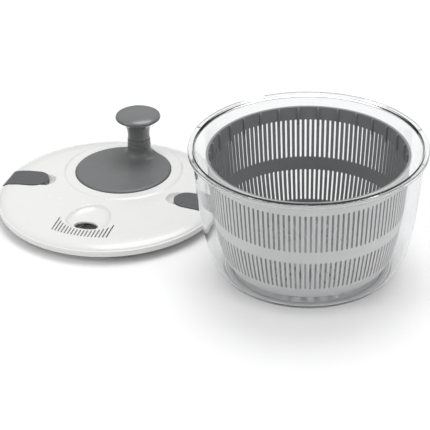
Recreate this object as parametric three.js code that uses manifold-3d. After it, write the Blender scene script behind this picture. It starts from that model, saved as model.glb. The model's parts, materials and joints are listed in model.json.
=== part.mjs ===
// A hand-cranked salad spinner with its lid taken off and standing beside the bowl.
// Millimetres, +Z up. The origin is the centre of the bowl's base, on the table.
import * as THREE from "three";
import { mergeVertices } from "three/addons/utils/BufferGeometryUtils.js";
import Module from "manifold-3d";

const wasm = await Module();
wasm.setup();

// ---------- driving dimensions ----------
// Clearances
const gap = 0.3; // between pieces that touch
const runningGap = 0.35; // a journal in its bearing, all round
const coverGap = 0.7; // the dial in its recess, a latch in its slot

// Bowl
const rimRadius = 130;
const bowlHeight = 149;
const rimFlange = 5; // height of the flange round the mouth
const flangeOverhang = 4.8;
const bowlWall = 2.5;
const footRadius = 92.7;
const bellyOut = 19.3; // pulls the lower wall out from the foot into its round corner
const bellyHeight = 10;
const shoulderIn = 4.2; // the upper wall's pull, inside its top
const shoulderHeight = 70;
const floorTop = 5.3;
const footLift = 0.8; // the plastic stands off the table on the grip ring and centre boss
const gripRingWidth = 5;
const gripRingInset = 2;
const gripRingDepth = 2;
const nubCount = 10;
const nubRadius = 1.4;
const nubInset = 3.7; // from the rim's edge
const pivotRadius = 5;
const pivotTop = 11;

// Basket
const basketRimRadius = 111;
const basketRimTop = 140.8;
const basketRimHeight = 2.6;
const basketTopRadius = 109.3; // outside of the wall, under its rim
const basketBottomRadius = 88;
const basketBottom = 12;
const basketWall = 1.8;
const basketBayCount = 30;
const ribDepth = 2.6;
const ribWidth = 4;
const ribDrop = 1; // the top of a rib, under the rim
const ribFoot = 120;
const lowerTier = [28, 64];
const upperTier = [78.5, 125];
const lowerTierRadius = [95.6, 103];
const upperTierRadius = [105.1, 108.9];
const windowShare = 0.9; // of one facet of the wall

// Lid, standing on the rim of its basket driver
const lidBearing = 148; // degrees, from the bowl to the lid
const lidBeside = 2.35; // between the bowl's rim and the lid's edge
const lidYaw = -18; // degrees, turns the pouring side towards the front
const lidSkirtWall = 1.4;
const rimClearance = 0.4; // the bowl's rim inside the lid's channel
const channelDepth = 3.2;
const lidSkin = 2.2;
const spigotWall = 1.6;
const spigotDrop = 1.5;
const lidCrown = 14;
const driverDrop = 8.2; // how far the driver hangs below the skirt

// Gear train
const gearModule = 1.25;
const gearTeeth = 56;
const pinionTeeth = 16;
const toothDepthUp = 1.0; // of the module
const toothDepthDown = 1.3;
const backlash = 0.9;
const gearBottom = 3;
const gearTop = 7.6;
const gearWebBottom = 4.8;
const screwOut = 7.3; // the cover's screws, outside the teeth

// Dial and knob
const dialRadius = 56.4;
const dialTop = 16.6;
const dialPlate = 2.4;
const dialSkirt = 3.9;
const recessFloor = [8.4, 10.6];
const plateauTop = 14.8;
const plateauRadius = 72;
const hubRadius = 8;
const keyRadius = 7;
const knobInset = 15; // the knob's axis, inside the dial's edge
const dialYaw = -8.4; // degrees, the knob's place round the dial at rest
const pedestalHeight = 21.9;
const pedestalRadius = 13.6;
const knobHeight = 28;
const knobRadius = 27;
const neckRadius = 13.3;
const postRadius = 4;

// Driver
const hubKeyRadius = 5;
const driverWeb = [-3.2, -1.4];
const driverRimWall = 3.2;
const driverWindows = 12;
const lugCount = 6;
const lugAngle = 5; // degrees

// Latches
const latchWidth = 33;
const latchInnerEnd = 79;
const latchThickness = 2.2;
const latchProud = 0.8;
const latchPivotInset = 5.3; // inside the lid's spigot
const latchPivotHeight = 6.6;
const latchPinRadius = 1.5;
const latchBossRadius = 3;
const hookGrip = 1; // how far the hook reaches under the bowl's flange
const pocketFloor = 4.2;
const trayWall = 2;
const trayBottom = 0.6;

// Filling hole and drain slots
const holeDistance = 81;
const holeHalf = [14, 10.5];
const dishDistance = 67;
const dishHalf = [26, 27, 5.5];
const slotCount = 17;
const slotPitch = 4.1;
const slotWidth = 1.8;
const slotInset = 13.3; // the slots' outer ends, inside the lid's spigot

// Facets round the large and the small turned pieces
const roundLarge = 48;
const roundBasket = 60; // two facets to each bay between ribs
const roundMiddle = 40;
const roundSmall = 18;
const roundScrew = 8;

// ---------- sizes that follow ----------
const degree = Math.PI / 180;
const lidRadius = rimRadius + rimClearance + lidSkirtWall;
const bowlTopRadius = rimRadius - flangeOverhang;
const bowlInside = bowlTopRadius - bowlWall;
const spigotRadius = bowlInside - rimClearance;
const basketInside = basketTopRadius - basketWall;
const driverRadius = basketInside - ribDepth - 0.6;
const lugRadius = basketInside - 0.6;
const gearRadius = (gearModule * gearTeeth) / 2;
const pinionRadius = (gearModule * pinionTeeth) / 2;
const dialOffset = gearRadius + pinionRadius;
const recessRadius = dialRadius + coverGap;
const lidBase = driverDrop;
const lidDistance = rimRadius + lidBeside + lidRadius;
const lidCentre = [lidDistance * Math.cos(lidBearing * degree), lidDistance * Math.sin(lidBearing * degree)];
const beyond = 2 * lidRadius; // a cutting block that reaches past the lid
const knobOffset = dialRadius - knobInset;
const latchPivot = [spigotRadius - latchPivotInset, latchPivotHeight];
const pinionBossTop = dialTop - dialSkirt - 0.6; // clear of the dial's skirt
const pinionJournal = pinionBossTop - 1.4;

// ---------- solids ----------
const identity = new THREE.Matrix4();

function toSolid(geometry, matrix = identity) {
  const open = geometry.index ? geometry.toNonIndexed() : geometry.clone();
  const bare = new THREE.BufferGeometry();
  bare.setAttribute("position", open.getAttribute("position"));
  bare.applyMatrix4(matrix);
  const welded = mergeVertices(bare, 1e-4);
  const mesh = new wasm.Mesh({
    numProp: 3,
    vertProperties: welded.attributes.position.array,
    triVerts: new Uint32Array(welded.index.array),
  });
  return new wasm.Manifold(mesh);
}

function toGeometry(solid) {
  const mesh = solid.getMesh();
  const geometry = new THREE.BufferGeometry();
  geometry.setAttribute("position", new THREE.BufferAttribute(mesh.vertProperties, 3));
  geometry.setIndex(new THREE.BufferAttribute(mesh.triVerts, 1));
  geometry.computeVertexNormals();
  return geometry;
}

const join = (...solids) => solids.reduce((a, b) => a.add(b));
const cut = (solid, ...tools) => tools.reduce((a, b) => a.subtract(b), solid);
const at = (x, y, z = 0) => new THREE.Matrix4().makeTranslation(x, y, z);
const turned = (angle) => new THREE.Matrix4().makeRotationZ(angle);

// A turned solid about Z from a list of [radius, height] points, outside first and then inside.
function turn(profile, segments, matrix = identity) {
  const points = profile.map(([r, z]) => new THREE.Vector2(r, z));
  const first = points[0];
  const last = points[points.length - 1];
  if (first.x > 0 || last.x > 0) points.push(first.clone());
  if (THREE.ShapeUtils.area(points) < 0) points.reverse();
  const upright = new THREE.Matrix4().makeRotationX(Math.PI / 2);
  return toSolid(new THREE.LatheGeometry(points, segments), matrix.clone().multiply(upright));
}

// A round bar from one height to another.
function bar(radius, low, high, segments = roundSmall, matrix = identity) {
  const geometry = new THREE.CylinderGeometry(radius, radius, high - low, segments);
  const upright = at(0, 0, (low + high) / 2).multiply(new THREE.Matrix4().makeRotationX(Math.PI / 2));
  return toSolid(geometry, matrix.clone().multiply(upright));
}

function block(x, y, z, matrix = identity) {
  const geometry = new THREE.BoxGeometry(x[1] - x[0], y[1] - y[0], z[1] - z[0]);
  const centre = at((x[0] + x[1]) / 2, (y[0] + y[1]) / 2, (z[0] + z[1]) / 2);
  return toSolid(geometry, matrix.clone().multiply(centre));
}

// A flat outline of [x, y] points, raised from one height to another.
function plate(outline, low, high, matrix = identity) {
  const shape = new THREE.Shape(outline.map(([x, y]) => new THREE.Vector2(x, y)));
  const geometry = new THREE.ExtrudeGeometry(shape, { depth: high - low, bevelEnabled: false });
  return toSolid(geometry, matrix.clone().multiply(at(0, 0, low)));
}

// A radial outline of [radius, height] points, as wide as given, standing along +X.
function fin(outline, width, matrix = identity) {
  const onEdge = at(0, width / 2, 0).multiply(new THREE.Matrix4().makeRotationX(Math.PI / 2));
  return plate(outline, 0, width, matrix.clone().multiply(onEdge));
}

function ellipsoid(half, matrix) {
  const geometry = new THREE.SphereGeometry(1, roundSmall, 8);
  const scale = new THREE.Matrix4().makeScale(...half);
  return toSolid(geometry, matrix.clone().multiply(scale));
}

function arcPoints(x, y, radius, from, to, steps) {
  const points = [];
  for (let i = 0; i <= steps; i += 1) {
    const angle = (from + ((to - from) * i) / steps) * degree;
    points.push([x + radius * Math.cos(angle), y + radius * Math.sin(angle)]);
  }
  return points;
}

// ---------- materials ----------
function finish(colour, roughness, metalness = 0, opacity = 1) {
  return new THREE.MeshStandardMaterial({
    color: colour,
    roughness,
    metalness,
    opacity,
    transparent: opacity < 1,
  });
}
const clearPlastic = finish(0xeef2f4, 0.06, 0, 0.3);
const whitePlastic = finish(0xf2f2f1, 0.25);
const innerWhite = finish(0xe6e6e4, 0.4);
const greyPlastic = finish(0x8b8c8e, 0.4);
const darkPlastic = finish(0x6f7072, 0.35);
const acetal = finish(0xdedbd2, 0.4);
const steel = finish(0xb9bcc0, 0.25, 1);
const gripRubber = finish(0xd2d6d8, 0.7);

function piece(name, solid, material) {
  const mesh = new THREE.Mesh(toGeometry(solid), material);
  mesh.name = name;
  return mesh;
}

// ---------- bowl ----------
const wallBottom = footLift;
const wallTop = bowlHeight - rimFlange;

// The wall's outer curve, sampled, and the same curve moved in by a distance.
function wallCurve(inset, steps = 5) {
  const curve = new THREE.CubicBezierCurve(
    new THREE.Vector2(footRadius, wallBottom),
    new THREE.Vector2(footRadius + bellyOut, bellyHeight),
    new THREE.Vector2(bowlTopRadius - shoulderIn, shoulderHeight),
    new THREE.Vector2(bowlTopRadius, wallTop),
  );
  const points = [];
  for (let i = 0; i <= steps; i += 1) {
    const t = (i / steps) ** 1.15;
    const point = curve.getPoint(t);
    const tangent = curve.getTangent(t);
    points.push([point.x - inset * tangent.y, point.y + inset * tangent.x]);
  }
  return points;
}

function bowlSolid() {
  const groove = [footRadius - gripRingInset - gripRingWidth - gap, footRadius - gripRingInset + gap];
  const grooveTop = gripRingDepth + gap;
  const bossRadius = 12;
  const insideWall = wallCurve(bowlWall).filter(([, z]) => z > floorTop + 0.5);
  const floorEdge = insideWall[0][0] - 3;
  const outline = [
    [0, 0],
    [bossRadius, 0],
    [bossRadius + 1.5, footLift + 1.2],
    [groove[0] - 1.5, footLift + 1.2],
    [groove[0], footLift],
    [groove[0], grooveTop],
    [groove[1], grooveTop],
    [groove[1], footLift],
    ...wallCurve(0),
    [rimRadius, wallTop],
    [rimRadius, bowlHeight - 0.8],
    [rimRadius - 0.8, bowlHeight],
    [bowlInside + 1.4, bowlHeight],
    [bowlInside, bowlHeight - 1.6],
    ...insideWall.reverse(),
    [floorEdge, floorTop],
    [0, floorTop],
  ];
  const pivot = [
    [0, floorTop - 1],
    [pivotRadius + 4, floorTop - 1],
    [pivotRadius, floorTop + 2.5],
    [pivotRadius, pivotTop - 1.2],
    [pivotRadius - 2, pivotTop],
    [0, pivotTop],
  ];
  let bowl = turn(outline, roundLarge).add(turn(pivot, roundSmall));
  for (let i = 0; i < nubCount; i += 1) {
    const angle = (-94 + (i * 360) / nubCount) * degree;
    const circle = rimRadius - nubInset;
    const place = at(circle * Math.cos(angle), circle * Math.sin(angle));
    bowl = bowl.add(bar(nubRadius, bowlHeight - 1, bowlHeight + 0.5, 6, place));
  }
  return bowl;
}

function gripRingSolid() {
  const outer = footRadius - gripRingInset;
  const inner = outer - gripRingWidth;
  return turn(
    [
      [inner, 0],
      [outer, 0],
      [outer, gripRingDepth],
      [inner, gripRingDepth],
    ],
    roundLarge,
  );
}

// ---------- basket ----------
function basketSolid() {
  const stations = [
    [basketBottomRadius, basketBottom],
    [lowerTierRadius[0], lowerTier[0]],
    [lowerTierRadius[1], lowerTier[1]],
    [upperTierRadius[0], upperTier[0]],
    [upperTierRadius[1], upperTier[1]],
    [basketTopRadius, basketRimTop - basketRimHeight],
  ];
  const inside = stations.map(([r, z]) => [r - basketWall, z]);
  const socketRadius = pivotRadius + runningGap;
  const socket = [
    [0, pivotTop + gap],
    [socketRadius, pivotTop + gap],
    [socketRadius, pivotTop - 2.6],
    [socketRadius + 3, pivotTop - 2.6],
    [socketRadius + 3, basketBottom + 3.5],
    [0, basketBottom + 4],
  ];
  const hub = socketRadius + 1;
  const outline = [
    [hub, basketBottom],
    ...stations,
    [basketRimRadius, basketRimTop - basketRimHeight],
    [basketRimRadius, basketRimTop],
    [basketInside, basketRimTop],
    ...inside.slice(1).reverse(),
    [inside[0][0] - 2.5, basketBottom + 3],
    [hub, basketBottom + 3],
  ];
  let basket = turn(outline, roundBasket).add(turn(socket, roundSmall));
  const bay = 360 / basketBayCount;
  const facet = 2 * Math.tan(Math.PI / roundBasket);
  const tiers = [
    [lowerTier, lowerTierRadius],
    [upperTier, upperTierRadius],
  ];
  const tools = [];
  for (let i = 0; i < basketBayCount; i += 1) {
    const middle = turned((i + 0.25) * bay * degree);
    for (const [[low, high], [lowRadius, highRadius]] of tiers) {
      const width = windowShare * facet * lowRadius;
      const through = [lowRadius - 3 * basketWall, highRadius + basketWall];
      tools.push(block(through, [-width / 2, width / 2], [low, high], middle));
    }
  }
  basket = cut(basket, ...tools);
  for (let i = 0; i < basketBayCount; i += 1) {
    const place = turned((i + 0.75) * bay * degree);
    const depth = [basketInside - ribDepth, basketInside + 0.8];
    const rib = [
      [depth[0] - (basketTopRadius - upperTierRadius[1]), ribFoot],
      [depth[1] - 1, ribFoot],
      [depth[1], basketRimTop - ribDrop],
      [depth[0] + 1, basketRimTop - ribDrop],
      [depth[0], basketRimTop - ribDrop - 1.6],
    ];
    basket = basket.add(fin(rib, ribWidth, place));
  }
  const floorSlots = 10;
  for (let i = 0; i < floorSlots; i += 1) {
    const place = turned((i * 360 * degree) / floorSlots);
    const slot = block([30, 70], [-3, 3], [basketBottom - 1, basketBottom + 5], place);
    basket = basket.subtract(slot);
  }
  return basket;
}

// ---------- lid shell ----------
// The lid's upper surface, from the top of the skirt in to the middle.
const lidSurface = [
  [lidRadius, 3.4],
  [lidRadius - 1.4, 6],
  [lidRadius - 4.8, 8.4],
  [lidRadius - 11.8, 10.4],
  [lidRadius - 23.8, 12],
  [lidRadius - 47, 13.2],
  [0, lidCrown],
];

function surfaceHeight(radius) {
  for (let i = 1; i < lidSurface.length; i += 1) {
    const [r1, z1] = lidSurface[i - 1];
    const [r0, z0] = lidSurface[i];
    if (radius <= r1 && radius >= r0) return z0 + ((z1 - z0) * (radius - r0)) / (r1 - r0);
  }
  return lidSurface[0][1];
}

// The latch seen from above, pointing along +X, grown by a margin.
function latchOutline(margin, reach) {
  const half = latchWidth / 2 + margin;
  const centre = latchInnerEnd + latchWidth / 2;
  return [...arcPoints(centre, 0, half, 90, 270, 10), [reach, -half], [reach, half]];
}

const skirtChannel = rimRadius + rimClearance;
const latchReach = lidRadius + 1;
const hookInside = skirtChannel + gap;
const gearTip = gearRadius + gearModule * toothDepthUp;
const pinionTip = pinionRadius + gearModule * toothDepthUp;
const screwPlaces = [
  [-gearTip - screwOut, dialOffset],
  [gearTip + screwOut, dialOffset],
  [0, dialOffset + gearTip + screwOut],
  [0, -pinionTip - screwOut],
];

function lidSolid() {
  const under = lidSurface.slice(3).map(([r, z]) => [r, z - lidSkin]);
  under[0] = [spigotRadius - spigotWall, surfaceHeight(spigotRadius - spigotWall) - lidSkin];
  const outline = [
    ...lidSurface.slice().reverse(),
    [lidRadius, 0],
    [skirtChannel, 0],
    [skirtChannel, channelDepth],
    [spigotRadius, channelDepth],
    [spigotRadius, -spigotDrop],
    [spigotRadius - spigotWall, -spigotDrop],
    ...under,
  ];
  const shell = turn(outline, roundLarge);

  // The recess for the dial, with a raised ring round it and the two bearings in its floor.
  const middle = at(0, dialOffset);
  const ring = turn(
    [
      [0, recessFloor[0]],
      [recessRadius + 3, recessFloor[0]],
      [plateauRadius - 5, recessFloor[1]],
      [plateauRadius + 1, recessFloor[1]],
      [plateauRadius - 2.5, plateauTop],
      [0, plateauTop],
    ],
    roundMiddle,
    middle,
  );
  const recess = bar(recessRadius, recessFloor[1], plateauTop + 5, roundLarge, middle);
  const bearing = bar(hubRadius + runningGap + 3, recessFloor[0], dialTop - dialPlate - 1, roundSmall, middle);
  const bearingHole = bar(hubRadius + runningGap, recessFloor[0] - 1, dialTop, roundSmall, middle);
  const pinionBoss = bar(7, recessFloor[0], pinionBossTop, roundSmall);
  const pinionHole = bar(4 + runningGap, recessFloor[0] - 5, pinionJournal + 0.4, roundSmall);

  // The dished filling hole.
  const dishHeight = surfaceHeight(dishDistance) + 1;
  const dishPlace = at(0, -dishDistance, dishHeight);
  const grown = dishHalf.map((half) => half + 2);
  const dishFull = ellipsoid(grown, dishPlace);
  const aboveDish = block([-beyond, beyond], [-beyond, 0], [surfaceHeight(dishDistance + 35) - 1, 40]);
  const dish = ellipsoid([dishHalf[0], dishHalf[1], dishHalf[2] + 1], dishPlace);
  const oval = new THREE.Matrix4().makeScale(holeHalf[0], holeHalf[1], 1);
  const hole = bar(1, 0, 30, roundSmall, at(0, -holeDistance).multiply(oval));

  let lid = shell.add(dishFull.subtract(aboveDish));
  lid = cut(lid, dish, hole).add(ring);
  lid = cut(lid, recess);
  lid = join(lid, bearing, pinionBoss);
  lid = cut(lid, bearingHole, pinionHole);

  // Drain slots, side by side, that stop short of the dish.
  const slots = [];
  for (let i = 0; i < slotCount; i += 1) {
    const x = (i - (slotCount - 1) / 2) * slotPitch;
    const outer = -Math.sqrt((spigotRadius - slotInset) ** 2 - x ** 2);
    const across = Math.min(Math.abs(x) / (dishHalf[0] + 9), 1);
    const inner = -dishDistance - (dishHalf[1] + 2.5) * Math.sqrt(1 - across ** 2);
    slots.push(block([x - slotWidth / 2, x + slotWidth / 2], [outer, inner], [0, 30]));
  }
  lid = cut(lid, ...slots);

  // A tray, a slot and a finger scoop for each latch.
  for (const side of [0, Math.PI]) {
    const facing = turned(side);
    const inSpigot = bar(spigotRadius, -10, 20, roundLarge);
    const tray = plate(latchOutline(coverGap + trayWall, lidRadius), trayBottom, 9, facing);
    lid = lid.add(tray.intersect(inSpigot));
    const slot = plate(latchOutline(coverGap, spigotRadius - spigotWall), pocketFloor, 30, facing);
    const well = [latchPivot[0] - latchBossRadius - 2, spigotRadius - spigotWall];
    const half = latchWidth / 2 + coverGap;
    const bossWell = block(well, [-half, half], [2, 30], facing);
    const overRim = block([well[1] - 1, beyond], [-half, half], [channelDepth + lidSkirtWall, 30], facing);
    const skirtWindow = block([skirtChannel - 0.2, beyond], [-half, half], [-10, 30], facing);
    const scoopPlace = facing.clone().multiply(at(latchInnerEnd + 3, 0, surfaceHeight(latchInnerEnd) + 1.5));
    const scoopWall = ellipsoid([15, 15.5, 9.5], scoopPlace);
    const belowSkin = block([-beyond, beyond], [-beyond, beyond], [trayBottom, 11]);
    const scoop = ellipsoid([12.5, 13, 7.5], scoopPlace);
    const pinHole = new THREE.Matrix4().makeRotationX(Math.PI / 2);
    const bore = bar(
      latchPinRadius + gap / 2,
      -latchWidth / 2 - 1.9,
      latchWidth / 2 + 1.9,
      roundScrew,
      facing.clone().multiply(at(latchPivot[0], 0, latchPivot[1])).multiply(pinHole),
    );
    lid = lid.add(scoopWall.intersect(belowSkin));
    lid = cut(lid, slot, bossWell, overRim, skirtWindow, scoop, bore);
  }

  // Screw bosses for the gear cover.
  for (const [x, y] of screwPlaces) {
    const top = y > 0 ? recessFloor[0] + 1 : surfaceHeight(0) - 1;
    lid = lid.add(bar(4, gearBottom - 0.5, top, roundScrew, at(x, y)));
    lid = lid.subtract(bar(1.6, gearBottom - 2, top - 1.2, roundScrew, at(x, y)));
  }
  return lid;
}

// ---------- gears ----------
function gearOutline(teeth, shrink) {
  const pitch = (gearModule * teeth) / 2;
  const tip = pitch + gearModule * toothDepthUp;
  const root = pitch - gearModule * toothDepthDown;
  const halfTooth = (Math.PI * gearModule) / 4 - shrink / 2;
  const slope = Math.tan(20 * degree);
  const points = [];
  for (let i = 0; i < teeth; i += 1) {
    const middle = (i * 2 * Math.PI) / teeth;
    const corner = (radius, sign) => {
      const half = (halfTooth - (radius - pitch) * slope) / radius;
      const angle = middle + sign * half;
      return [radius * Math.cos(angle), radius * Math.sin(angle)];
    };
    points.push(corner(root, -1), corner(tip, -1), corner(tip, 1), corner(root, 1));
  }
  return points;
}

function driveGearSolid() {
  const phase = turned((-90 - dialYaw) * degree); // a tooth towards the pinion
  const blank = plate(gearOutline(gearTeeth, backlash / 2), gearBottom, gearTop, phase);
  const inside = gearRadius - 5;
  const recess = turn(
    [
      [11, gearBottom - 1],
      [inside, gearBottom - 1],
      [inside, gearWebBottom],
      [11, gearWebBottom],
    ],
    roundSmall,
  );
  const counterbore = bar(9, gearBottom - 1, gearWebBottom, roundSmall);
  const key = bar(keyRadius + gap, 0, 20, 6);
  return cut(blank, recess, counterbore, key);
}

const keyEnd = -5;

function pinionSolid() {
  const phase = turned(Math.PI / 2 + Math.PI / pinionTeeth); // a space towards the gear
  const teeth = plate(gearOutline(pinionTeeth, backlash / 2), gearBottom, gearTop, phase);
  const journal = bar(4, gearTop - 0.5, pinionJournal, roundSmall);
  const shaft = bar(6, driverWeb[1] + gap, gearBottom + 0.5, roundSmall);
  const key = bar(hubKeyRadius, keyEnd, 0, 6);
  const hole = bar(1.9, keyEnd - 1, 4, roundScrew);
  return join(teeth, journal, shaft, key).subtract(hole);
}

function gearCoverSolid() {
  const room = gearTip + 1;
  const pinionRoom = pinionTip + 1;
  const lean = Math.asin((room - pinionRoom) / dialOffset) / degree;
  const caseOutline = (margin) => [
    ...arcPoints(0, dialOffset, room + margin, -lean, 180 + lean, 32),
    ...arcPoints(0, 0, pinionRoom + margin, 180 + lean, 360 - lean, 10),
  ];
  const floor = [0.6, 2.2];
  let cover = plate(caseOutline(1.4), floor[0], recessFloor[0] - gap);
  for (const [x, y] of screwPlaces) cover = cover.add(bar(6, floor[0], floor[1], roundScrew, at(x, y)));
  cover = cut(cover, plate(caseOutline(0), floor[1], 20));
  for (const [x, y] of screwPlaces) {
    cover = cut(cover, bar(4 + gap, floor[1], 20, roundScrew, at(x, y)));
    cover = cut(cover, bar(2, 0, 5, roundScrew, at(x, y)));
  }
  return cut(cover, bar(6 + runningGap, 0, 5, roundSmall));
}

// A pan-head screw with a cross recess, its head downwards, seated at z = 0.
function screwSolid(shankRadius, length, headRadius, headHeight, matrix = identity) {
  const body = turn(
    [
      [0, -headHeight],
      [headRadius - 0.6, -headHeight],
      [headRadius, -headHeight + 0.5],
      [headRadius, 0],
      [shankRadius, 0],
      [shankRadius, length - 1.2],
      [0, length],
    ],
    roundScrew,
  );
  const arm = headRadius * 0.6;
  const depth = [-headHeight - 1, -headHeight * 0.45];
  const cross = join(
    block([-arm, arm], [-0.4, 0.4], depth),
    block([-0.4, 0.4], [-arm, arm], depth),
  );
  return body.subtract(cross).transform(matrix.elements);
}

function washerSolid(inner, outer, low, high) {
  return turn(
    [
      [inner, low],
      [outer, low],
      [outer, high],
      [inner, high],
    ],
    roundSmall,
  );
}

// ---------- dial and knob, measured from the dial's own top face ----------
function dialSolid() {
  const toDial = -dialTop;
  const disc = turn(
    [
      [0, -dialPlate],
      [dialRadius - 2.8, -dialPlate],
      [dialRadius - 2.8, -dialSkirt],
      [dialRadius, -dialSkirt],
      [dialRadius, -1.5],
      [dialRadius - 1.2, -0.4],
      [dialRadius - 3.2, 0],
      [0, 0],
    ],
    roundMiddle,
  );
  const hub = bar(hubRadius, recessFloor[0] - gap + toDial, -1, roundSmall);
  const key = bar(keyRadius, gearWebBottom + gap + toDial, -5, 6);
  const foot = pedestalRadius + 8;
  const pedestal = turn(
    [
      [0, -1],
      [foot, -1],
      [foot, 0.1],
      [foot - 4, 1],
      [pedestalRadius + 1.6, 4],
      [pedestalRadius + 0.4, 9],
      [pedestalRadius + 0.4, 14.8],
      [pedestalRadius - 0.4, 15.2],
      [pedestalRadius - 0.4, 16],
      [pedestalRadius + 0.2, 16.4],
      [pedestalRadius, pedestalHeight],
      [0, pedestalHeight],
    ],
    roundSmall,
    at(0, knobOffset),
  );
  const trimmed = pedestal.intersect(bar(dialRadius - 1.4, -10, 60, roundMiddle));
  const postHole = bar(postRadius + gap, 6, 40, roundSmall, at(0, knobOffset));
  const screwHole = bar(1.9, -30, -4, roundScrew);
  return cut(join(disc, hub, key, trimmed), postHole, screwHole);
}

const knobBase = pedestalHeight + 0.4;
const cavityFloor = 20;

function knobSolid() {
  return turn(
    [
      [neckRadius, 0],
      [neckRadius - 0.1, 7],
      [neckRadius + 0.8, 12.5],
      [neckRadius + 2.8, 18],
      [20, 23],
      [25, 25.8],
      [knobRadius, 27.2],
      [knobRadius, knobHeight],
      [knobRadius - 1.9, knobHeight],
      [knobRadius - 3.2, knobHeight - 1],
      [19, 25.2],
      [12, cavityFloor],
      [postRadius + runningGap, cavityFloor],
      [postRadius + runningGap, 0],
    ],
    roundSmall,
  );
}

function knobCapSolid() {
  const seat = knobHeight + gap;
  const snap = knobRadius - 3.2 - gap;
  return turn(
    [
      [0, seat + 5.7],
      [10, seat + 4.9],
      [18, seat + 3],
      [24, seat + 1.2],
      [knobRadius - 0.4, seat + 0.4],
      [knobRadius - 0.4, seat],
      [snap, seat],
      [snap, seat - 1],
      [snap - 1.4, seat - 1],
      [snap - 1.4, seat + 0.2],
      [10, seat + 3],
      [0, seat + 3.8],
    ],
    roundSmall,
  );
}

function postSolid() {
  const top = knobBase + cavityFloor + 0.4;
  const rod = bar(postRadius, 6 + gap, top, roundSmall);
  return rod.subtract(bar(1.9, top - 14, top + 1, roundScrew));
}

// ---------- driver ----------
function driverSolid() {
  const bore = hubKeyRadius + gap;
  const hub = bore + 4;
  let driver = turn(
    [
      [0, keyEnd - 1.6],
      [hub, keyEnd - 1.6],
      [hub, driverWeb[0]],
      [driverRadius - driverRimWall, driverWeb[0]],
      [driverRadius - driverRimWall, -driverDrop],
      [driverRadius, -driverDrop],
      [driverRadius, driverWeb[1] - 0.6],
      [driverRadius - 0.8, driverWeb[1]],
      [0, driverWeb[1]],
    ],
    roundLarge,
  );
  const tools = [];
  const outlineOf = (inner, outer, half) => [
    ...arcPoints(0, 0, outer, -half, half, 3),
    ...arcPoints(0, 0, inner, half, -half, 1),
  ];
  for (let i = 0; i < driverWindows; i += 1) {
    const place = turned((i * 2 * Math.PI) / driverWindows);
    tools.push(plate(outlineOf(26, driverRadius - 12, 10), -6, 0, place));
  }
  driver = cut(driver, ...tools);
  for (let i = 0; i < lugCount; i += 1) {
    const place = turned((i * 2 * Math.PI) / lugCount);
    const outline = outlineOf(driverRadius - 1, lugRadius, lugAngle / 2);
    driver = driver.add(plate(outline, -driverDrop, driverWeb[0], place));
  }
  return cut(driver, bar(bore, keyEnd - gap, 0, 6), bar(2, -20, 0, roundScrew));
}

// ---------- latches, pointing along +X ----------
function latchSolid() {
  const bends = lidSurface.map(([r]) => r).filter((r) => r > latchInnerEnd && r < lidRadius - 2);
  const radii = [latchInnerEnd - 1, ...bends.reverse(), lidRadius - 2];
  const top = radii.map((r) => [r, surfaceHeight(r) + latchProud]);
  const bottom = radii
    .filter((r) => r < hookInside)
    .map((r) => [r, surfaceHeight(r) + latchProud - latchThickness]);
  const hookTop = channelDepth - rimFlange - gap;
  const hookTip = rimRadius - hookGrip;
  const section = [
    ...top,
    [latchReach, 5],
    [latchReach, hookTop - 2.2],
    [hookTip + 0.8, hookTop - 2.2],
    [hookTip, hookTop - 1],
    [hookTip, hookTop],
    [hookInside, hookTop],
    [hookInside, channelDepth + lidSkirtWall + 0.4],
    ...bottom.reverse(),
  ];
  const outline = plate(latchOutline(0, lidRadius + 5), -20, 40);
  let latch = fin(section, latchWidth + 2).intersect(outline);
  const across = at(latchPivot[0], 0, latchPivot[1]).multiply(new THREE.Matrix4().makeRotationX(Math.PI / 2));
  const edge = latchWidth / 2;
  const column = [latchPivot[0] - latchBossRadius, latchPivot[0] + latchBossRadius];
  for (const side of [-1, 1]) {
    const reach = [side * 5, side * edge].sort((a, b) => a - b);
    latch = latch.add(bar(latchBossRadius, reach[0], reach[1], roundScrew, across));
    const height = [latchPivot[1], surfaceHeight(latchPivot[0]) - 0.5];
    latch = latch.add(block([column[0] + 0.4, column[1] - 0.4], reach, height));
  }
  return latch.subtract(bar(latchPinRadius + gap, -edge - 1, edge + 1, roundScrew, across));
}

function latchPinSolid() {
  const across = at(latchPivot[0], 0, latchPivot[1]).multiply(new THREE.Matrix4().makeRotationX(Math.PI / 2));
  const reach = latchWidth / 2 + 1.6;
  return bar(latchPinRadius - gap / 2, -reach, reach, roundScrew, across);
}

function latchSpringSolid() {
  const across = at(latchPivot[0], 0, latchPivot[1]).multiply(new THREE.Matrix4().makeRotationX(Math.PI / 2));
  const inner = latchPinRadius + gap;
  const outer = inner + 0.9;
  const coil = bar(outer, -4, 4, roundScrew, across);
  const lowerLeg = block(
    [latchPivot[0] - 13, latchPivot[0]],
    [2.8, 3.8],
    [pocketFloor + gap, pocketFloor + gap + 0.9],
  );
  const upperLeg = block(
    [latchPivot[0] - 9, latchPivot[0]],
    [-3.8, -2.8],
    [latchPivot[1] - 0.6, latchPivot[1] + 0.3],
  );
  return cut(join(coil, lowerLeg, upperLeg), bar(inner, -6, 6, roundScrew, across));
}

// ---------- assembly ----------
const spinner = new THREE.Group();
spinner.add(
  piece("bowl", bowlSolid(), clearPlastic),
  piece("grip_ring", gripRingSolid(), gripRubber),
  piece("basket", basketSolid(), greyPlastic),
);

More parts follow.
